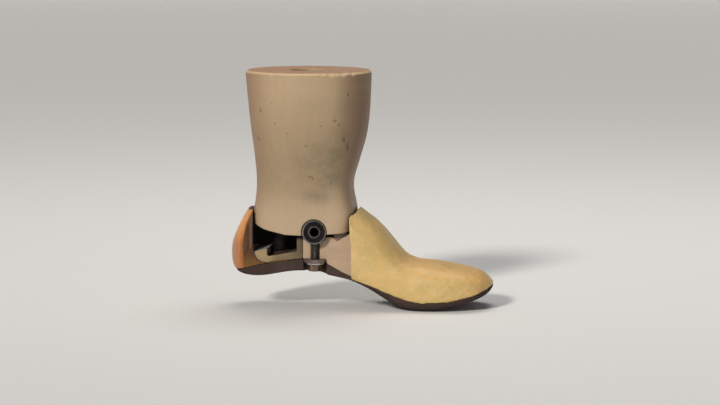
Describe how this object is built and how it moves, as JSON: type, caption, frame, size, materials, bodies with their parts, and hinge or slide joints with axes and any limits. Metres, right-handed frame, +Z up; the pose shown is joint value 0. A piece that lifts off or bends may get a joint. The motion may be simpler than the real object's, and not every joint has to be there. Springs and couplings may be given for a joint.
{
  "type": "prosthetic foot and ankle",
  "caption": "Cutaway right prosthetic foot: a carved wooden ankle block pivots on a cross axle above a wooden keel, with rubber bumpers, a lacquered cover and a full sole.",
  "frame": {"origin": "centre of the shin bore in the ankle block's top face", "axes": "+Z up along the shin bore, +X to the toe, -Y to the outer, cut-away side of a right foot"},
  "size_m": [0.2615, 0.114, 0.2368],
  "materials": {
    "block_wood": "sanded, oiled",
    "keel_wood": "sawn",
    "front_wood": "sawn",
    "heel_lacquer": "glossy lacquer over rawhide",
    "foot_cover": "satin lacquer over rawhide",
    "sole_rubber": "matt, worn",
    "black_rubber": "matt",
    "felt": "dense felt",
    "leather_pad": "old, oily",
    "fibre": "vulcanised fibre",
    "steel": "turned",
    "brown_steel": "browned, oily",
    "brass_washer": "dull"
  },
  "bodies": {
    "shank": {"ankle_block": "block_wood", "axle_sleeve": "steel", "ankle_axle": "steel", "axle_lock_pin": "steel", "thrust_washer_outer": "brass_washer", "thrust_washer_inner": "brass_washer"},
    "foot": {"keel_rear": "keel_wood", "keel_front": "front_wood", "heel_cover": "heel_lacquer", "instep_cover": "foot_cover", "sole": "sole_rubber", "heel_bumper": "black_rubber", "bumper_seat": "fibre", "front_bumper": "felt", "eye_bolt_outer": "steel", "eye_bolt_inner": "steel", "eye_bush_outer": "black_rubber", "eye_bush_inner": "black_rubber", "stud_pad_outer": "leather_pad", "stud_pad_inner": "leather_pad", "stud_washer_outer": "steel", "stud_washer_inner": "steel", "stud_nut_outer": "brown_steel", "stud_nut_inner": "brown_steel", "toe_wedge": "felt"},
    "toe": {"toe_filler": "front_wood", "toe_cover": "foot_cover", "toe_sole": "sole_rubber"}
  },
  "joints": [
    {"name": "ankle_hinge", "type": "hinge", "parent": "shank", "child": "foot", "pos_m": [0.0093, 0, -0.1595], "axis": [0, 1, 0], "range_deg": [-4, 8], "stiffness_Nm_per_rad": 60, "deforming": ["heel_bumper", "front_bumper"]},
    {"name": "toe_break", "type": "hinge", "parent": "foot", "child": "toe", "pos_m": [0.104, 0, -0.2258], "axis": [0, -1, 0], "range_deg": [0, 12], "stiffness_Nm_per_rad": 14, "deforming": ["toe_wedge"]}
  ]
}
